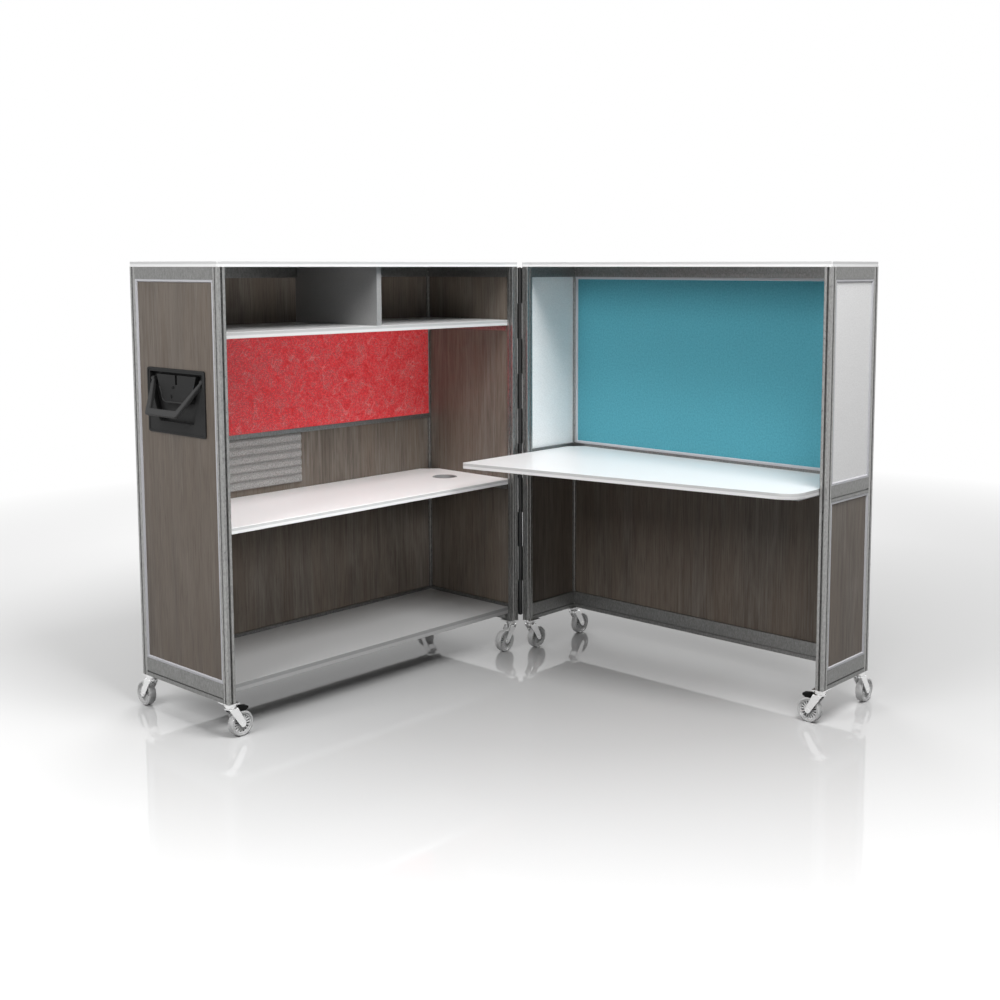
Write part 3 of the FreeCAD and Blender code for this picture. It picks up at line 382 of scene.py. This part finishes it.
# Grey levels of each white board's level faces and of its edge band. The boards are one white laminate,
# painted darker or lighter board by board for light and shade: the shelves and the caps' tops are painted
# shade, and the storage desk's top is painted light.
board_light_and_shade_levels = {
    "top_shelf": (208, 198), "storage_desk": (254, 240), "bottom_shelf": (190, 186), "worktop": (246, 242),
    "storage_top_cap": (212, 252), "desk_top_cap": (212, 252),
}
rail_nodes = [
    "storage_top_rails", "storage_bottom_rails", "desk_top_rails", "desk_grooved_rails", "tackboard_rail",
]
for row in frame["record"]["subparts"]:
    name = row["node"]
    if name in board_light_and_shade_levels:
        low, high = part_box(name)
        finish = board_finish("white_laminate_" + name, (low.z + high.z) / 2, *board_light_and_shade_levels[name])
    elif name in rail_nodes:
        finish = rail_aluminium
    else:
        finish = node_finishes[row["material_slot"]]
    nodes[name].data.materials.clear()
    nodes[name].data.materials.append(finish)


# Edges softened on the frame's own pieces

def soften(names, width):
    """Merges each node's loose triangles and rounds its edges by a width in millimetres, by modifiers."""
    for name in names:
        merge = nodes[name].modifiers.new("merge", "WELD")
        merge.merge_threshold = 0.01 * MM
        bevel = nodes[name].modifiers.new("soft_edges", "BEVEL")
        bevel.width = width * MM
        bevel.segments = 2
        bevel.limit_method = "ANGLE"
        bevel.angle_limit = math.radians(50)


crisp_nodes = [
    "handle_housing", "tackboard_rail", "storage_hinge_leaf", "desk_hinge_leaf", "storage_caster_mounts",
    "desk_caster_mounts",
]
soften([*board_light_and_shade_levels, "cubby_divider"], 1.6)
soften(crisp_nodes, 0.7)


# Surfaces worked out on grids

def grid_faces(rows, columns, closed_rows=False, closed_columns=False):
    """Quads that join a grid of points row by row, closed round where asked."""
    row = np.arange(rows if closed_rows else rows - 1)
    column = np.arange(columns if closed_columns else columns - 1)
    first, second = np.meshgrid(row, column, indexing="ij")
    next_row = (first + 1) % rows
    next_column = (second + 1) % columns
    corners = [first * columns + second, next_row * columns + second]
    corners += [next_row * columns + next_column, first * columns + next_column]
    return np.stack(corners, axis=-1).reshape(-1, 4)


def outward(points, faces):
    """Faces of a closed surface, turned round where the volume that they enclose comes out negative. The
    volume is a sixth of the sum, over the triangles of the faces, of their corners' triple product."""
    first, second, third, fourth = (points[faces[:, corner]] for corner in range(4))
    halves = np.einsum("ij,ij->i", first, np.cross(second, third) + np.cross(third, fourth))
    return faces if halves.sum() > 0 else faces[:, ::-1]


def piece(name, body, parts):
    """Smooth object from (points, faces, finish) parts, named and put on a body."""
    finishes = list(dict.fromkeys(finish for points, faces, finish in parts))
    starts = np.cumsum([0] + [len(points) for points, faces, finish in parts])
    faces = [outward(part[0], part[1]) + start for part, start in zip(parts, starts)]
    indices = [np.full(len(part[1]), finishes.index(part[2])) for part in parts]
    mesh = bpy.data.meshes.new(name)
    mesh.from_pydata(np.concatenate([part[0] for part in parts]), [], np.concatenate(faces).tolist())
    mesh.polygons.foreach_set("material_index", np.concatenate(indices))
    mesh.polygons.foreach_set("use_smooth", np.full(len(mesh.polygons), True))
    for finish in finishes:
        mesh.materials.append(finish)
    merged = bmesh.new()
    merged.from_mesh(mesh)
    bmesh.ops.remove_doubles(merged, verts=merged.verts, dist=0.001 * MM)
    merged.to_mesh(mesh)
    merged.free()
    item = bpy.data.objects.new(name, mesh)
    bpy.context.scene.collection.objects.link(item)
    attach(item, body)
    return item


def turned(profile, segments, rise=None, ribs=0):
    """Surface of revolution of a closed profile in millimetres about Z: the profile's point (radius, height)
    turned through an angle is (radius cos angle, radius sin angle, height). With ribs, the height grows by
    rise times a ridge that is 0.5 + 2 cos(ribs x angle), held between 0 and 1."""
    radius, height = np.array(profile, float).T * MM
    angle = np.linspace(0, 2 * math.pi, segments, endpoint=False)
    ridge = np.clip(0.5 + 2.0 * np.cos(ribs * angle), 0.0, 1.0)
    lift = np.zeros(len(radius)) if rise is None else np.array(rise, float) * MM
    x = np.outer(np.cos(angle), radius)
    y = np.outer(np.sin(angle), radius)
    z = height + np.outer(ridge, lift)
    points = np.stack([x, y, z], axis=-1).reshape(-1, 3)
    return points, grid_faces(segments, len(radius), closed_rows=True, closed_columns=True)


def aimed(points, centre, axis):
    """Points about Z turned so that Z lies along an axis, and moved to a centre."""
    turn = np.array(Vector(axis).to_track_quat("Z", "Y").to_matrix())
    return points @ turn.T + np.array(centre)


# Wheels

def mirrored(half):
    """Closed profile from its upper half, by adding its mirror image below in reverse."""
    half = np.array(half, float)
    return np.concatenate([half, half[::-1] * (1, -1)])


def wheel_parts(centre, axis):
    """Tyre, ribbed core, a dark ring of painted shade and bearing seals of one wheel, profiles in millimetres.
    The tyre's section is a rounded box: a point at an angle has radius middle + half_depth s and height
    half_width c, where s and c are the angle's sine and cosine with their sizes raised to powers under one.
    The core carries ribs that stand out between hub and rim, and the dark ring is painted shade that shows in
    the pockets between them."""
    middle, half_depth, half_width = 35.4, 4.6, 12.0
    angle = np.linspace(0, 2 * math.pi, 28, endpoint=False)
    sine = np.sign(np.sin(angle)) * np.abs(np.sin(angle)) ** 0.62
    cosine = np.sign(np.cos(angle)) * np.abs(np.cos(angle)) ** 0.5
    tyre = turned(np.column_stack([middle + half_depth * sine, half_width * cosine]), 56)
    hub = [(4.6, 12.4), (8.4, 12.6), (9.0, 12.0)]
    pocket = [(9.6, 3.0), (11.0, 2.6), (25.8, 2.6), (27.2, 3.0)]
    rim = [(27.9, 9.0), (28.6, 9.7), (30.4, 9.7), (31.2, 9.0)]
    rise = np.array([0, 0, 0, 7.4, 7.0, 5.8, 5.4, 0, 0, 0, 0])
    core = turned(mirrored(hub + pocket + rim), 128, np.concatenate([rise, -rise[::-1]]), 16)
    # Painted shade: a dark ring that darkens the pockets between the ribs.
    pocket_shade_ring = turned(mirrored([(9.2, 4.0), (27.6, 4.0)]), 64)
    parts = [(*tyre, tyre_clear), (*core, core_grey), (*pocket_shade_ring, bearing_dark)]
    seal = [(5.0, 12.4), (7.6, 12.4), (7.6, 13.0), (7.1, 13.2), (5.4, 13.2), (5.0, 13.0)]
    for side in (-1, 1):
        parts.append((*turned(np.array(seal) * (1, side), 32), bearing_dark))
    return [(aimed(points, centre, axis), faces, finish) for points, faces, finish in parts]


for joint in frame["joints"]:
    if joint["name"].endswith("_roll"):
        body = joint["child"]
        wheel = piece(body + "_ribbed", body, wheel_parts(joint["pos_m"], joint["axis"]))
        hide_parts(body)


# Fabric boards

def wrapped_slab(low, high, out, rounding):
    """Board between two corners, wrapped over its edges on the face that looks along an axis. Its surface is
    a stack of rectangles with round corners: each is drawn in by 1 - cos t of the rounding at the height
    sin t of it. Two more close the back and the face, at the closing shares of the size of the last one
    there: one lies just inside it, and the other is a point."""
    low, high = np.array(low), np.array(high)
    axis = int(np.argmax(np.abs(out)))
    across = [index for index in range(3) if index != axis]
    turn = np.linspace(0, math.pi / 2, 7)
    closing_shares = np.array([[0.0], [0.98]])
    depth = high[axis] - low[axis]
    corner = rounding + 0.5 * MM
    insets = np.concatenate([[0.0], rounding * (1 - np.cos(turn))])
    heights = np.concatenate([[0.0], depth - rounding + rounding * np.sin(turn)])
    angle = np.linspace(0, 2 * math.pi, 32, endpoint=False) + math.pi / 32
    centre = (low + high) / 2
    half = (high - low)[across] / 2 - corner
    reach = corner - insets[:, None]
    first = np.sign(np.cos(angle)) * half[0] + reach * np.cos(angle)
    second = np.sign(np.sin(angle)) * half[1] + reach * np.sin(angle)
    first, second = (
        np.concatenate([side[:1] * closing_shares, side, side[-1:] * closing_shares[::-1]])
        for side in (first, second)
    )
    level = np.pad(heights, len(closing_shares), mode="edge")
    points = np.zeros((*first.shape, 3))
    points[..., across[0]] = centre[across[0]] + first
    points[..., across[1]] = centre[across[1]] + second
    start = low[axis] if out[axis] > 0 else high[axis]
    points[..., axis] = start + np.sign(out[axis]) * level[:, None]
    return points.reshape(-1, 3), grid_faces(len(level), len(angle), closed_columns=True)


red_board = piece("red_felt_board", "storage_bay",
                  [(*wrapped_slab(*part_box("red_tackboard"), (0, -1, 0), 3.5 * MM), red_felt)])
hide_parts("red_tackboard")
teal_board = piece("teal_woven_board", "desk_bay",
                   [(*wrapped_slab(*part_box("teal_tackboard"), (-1, 0, 0), 3.0 * MM), teal_weave)])
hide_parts("teal_tackboard")


# Slats

def bulge(share, power):
    """Rounded step: one less the share's distance from the middle, doubled and raised to a power, and then
    the square root of that."""
    return np.sqrt(np.clip(1.0 - np.abs(2.0 * share - 1.0) ** power, 0.0, 1.0))


def slatted_board(low, high, count, groove, back):
    """Board of level slats that looks to -Y. The front's depth at a height is the back's, plus the slat's
    bulge over its own height, nought in the groove above it, and the bulge falls off towards both ends. A
    low power rounds the slat's section, and a high one keeps the slat straight almost to its ends."""
    section_power, end_power = 3.6, 60.0
    pitch = (high[2] - low[2]) / count
    slat = pitch - groove
    near_end = np.linspace(0.0, 0.012, 6)
    along = np.concatenate([near_end, np.linspace(0.05, 0.95, 10), 1.0 - near_end[::-1]])
    over_slat = np.linspace(0.0, 1.0, 17)
    step = np.append(over_slat, 1.0 + groove / (2 * pitch))
    heights = (np.arange(count)[:, None] * pitch + step * slat).ravel()
    shape = np.tile(np.append(bulge(over_slat, section_power), 0.0), count)
    ends = bulge(along, end_power)
    depth = back + (high[1] - low[1] - back) * np.outer(ends, shape)
    x, z = np.meshgrid(low[0] + along * (high[0] - low[0]), low[2] + heights, indexing="ij")
    front = np.stack([x, high[1] - depth, z], axis=-1)
    rear = np.stack([x, np.full_like(x, high[1]), z], axis=-1)
    sheet = np.concatenate([front, rear[:, ::-1]], axis=1)
    first_end, last_end = ((end + end[:, ::-1]) / 2 for end in (sheet[:1], sheet[-1:]))
    sheet = np.concatenate([first_end, sheet, last_end])
    return sheet.reshape(-1, 3), grid_faces(*sheet.shape[:2], closed_columns=True)


slats = piece("felted_slats", "storage_bay",
              [(*slatted_board(*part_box("slat_panel"), count=6, groove=5.0 * MM, back=5.0 * MM), slat_grey)])
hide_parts("slat_panel")


# Trim inside the handle's housing

def tube(path, radius):
    """Round rod along a path: a point at an angle stands off the path by the radius times the cosine along
    the path's side, and the sine along X. Its ends are drawn in to a point."""
    segments = 12
    run = np.gradient(path, axis=0)
    run /= np.linalg.norm(run, axis=1)[:, None]
    side = np.cross(run, (1.0, 0.0, 0.0))
    angle = np.linspace(0, 2 * math.pi, segments, endpoint=False)
    ring = np.cos(angle)[:, None] * side[:, None, :] + np.sin(angle)[:, None] * np.array([1.0, 0.0, 0.0])
    width = np.full(len(path), radius)
    width[[0, -1]] = 0.0
    points = path[:, None, :] + width[:, None, None] * ring
    return points.reshape(-1, 3), grid_faces(len(path), segments, closed_columns=True)


def island_outline(middle, top, bottom, half_top, half_bottom, corner):
    """Line down one edge of the island, round its two lower corners and up the other edge, in the plane X=0.
    The edges lean in, and each corner is a quarter turn drawn out to the edge's own lean."""
    turn = np.linspace(0, 1, 12)
    lean = (half_top - half_bottom) / (top - bottom)
    edge_y = half_bottom + lean * corner
    curve_y = edge_y - corner * turn ** 2
    curve_z = bottom + corner * (1 - turn) ** 2
    y = np.concatenate([[half_top, half_top], curve_y])
    z = np.concatenate([[top, top - MM], curve_z])
    y = np.concatenate([y, -y[::-1]]) + middle
    z = np.concatenate([z, z[::-1]])
    return np.column_stack([np.zeros(len(y)), y, z])


def knob(profile, segments, across, height, squeeze):
    """Turned profile that stands out from the island's face, across from the handle's middle and at a height
    in millimetres. Its upright size is multiplied by squeeze. Its near black is painted shade of a recess."""
    points, faces = turned(profile, segments)
    centre = (island_face, handle_middle + across * MM, height * MM)
    return aimed(points * (1.0, squeeze, 1.0), centre, (-1.0, 0.0, 0.0)), faces, pedal_black


handle_middle = 613.25 * MM
island_face = -793.8 * MM
lip = island_outline(handle_middle, top=1064 * MM, bottom=1017 * MM, half_top=92 * MM, half_bottom=70 * MM,
                     corner=22 * MM)
lip[:, 0] = island_face
button = [(0.0, -2.0), (8.6, -2.0), (9.4, 0.2), (8.4, 1.1), (4.0, 1.5), (0.0, 1.6)]
stud = [(0.0, -2.0), (4.6, -2.0), (5.2, 0.4), (4.4, 1.2), (0.0, 1.4)]
piece("handle_trim", "storage_bay", [
    # The lip is a real rounded edge, and its lighter bail grey is a painted highlight along it.
    (*tube(lip, 1.7 * MM), bail_grey),
    knob(button, 32, across=18.0, height=1063.0, squeeze=0.5),
    knob(stud, 24, across=28.0, height=1034.0, squeeze=1.25),
])


# Light and floor

make_camera(place=(-3.0133, -2.8678, 1.4333), direction=(0.7454, 0.6582, -0.1059), lens=46.76,
            shift=(-0.0478, -0.0953))
make_world(side_light=0.06, top_light=0.34)
area_light("storage_front", (-0.5, -2.1, 4.2), (-0.2, 0.5, 0.7), 1.8, 168.0)
area_light("desk_front", (-3.4, 0.1, 3.1), (0.5, -0.2, 0.8), 1.8, 82.0)
fill = area_light("corner_fill", (-0.34, -0.55, 1.04), (-0.32, 0.84, 1.05), 0.3, 5.5)
lit_nodes = ["storage_back_panel", "storage_inner_panel", "storage_desk", "top_shelf", "tackboard_rail"]
light_only(fill, [red_board, slats] + [nodes[name] for name in lit_nodes])
area_light("overhead", (1.0, 1.3, 4.4), (0.0, 0.0, 0.3), 2.5, 8.0)
area_light("back_fill", (2.8, 3.0, 2.0), (0.2, 0.3, 0.8), 2.4, 80.0)

half_side = 30.0
ground_points = half_side * np.array([[-1, -1, 0], [1, -1, 0], [1, 1, 0], [-1, 1, 0]], float)
ground = bpy.data.meshes.new("floor")
ground.from_pydata(ground_points, [], [(0, 1, 2, 3)])
ground.materials.append(floor_finish(centre=(0.8, 0.4, 0.0), shade=2.5, reach=4.6))
floor = bpy.data.objects.new("floor", ground)
bpy.context.scene.collection.objects.link(floor)

bpy.context.scene.view_settings.view_transform = "Standard"
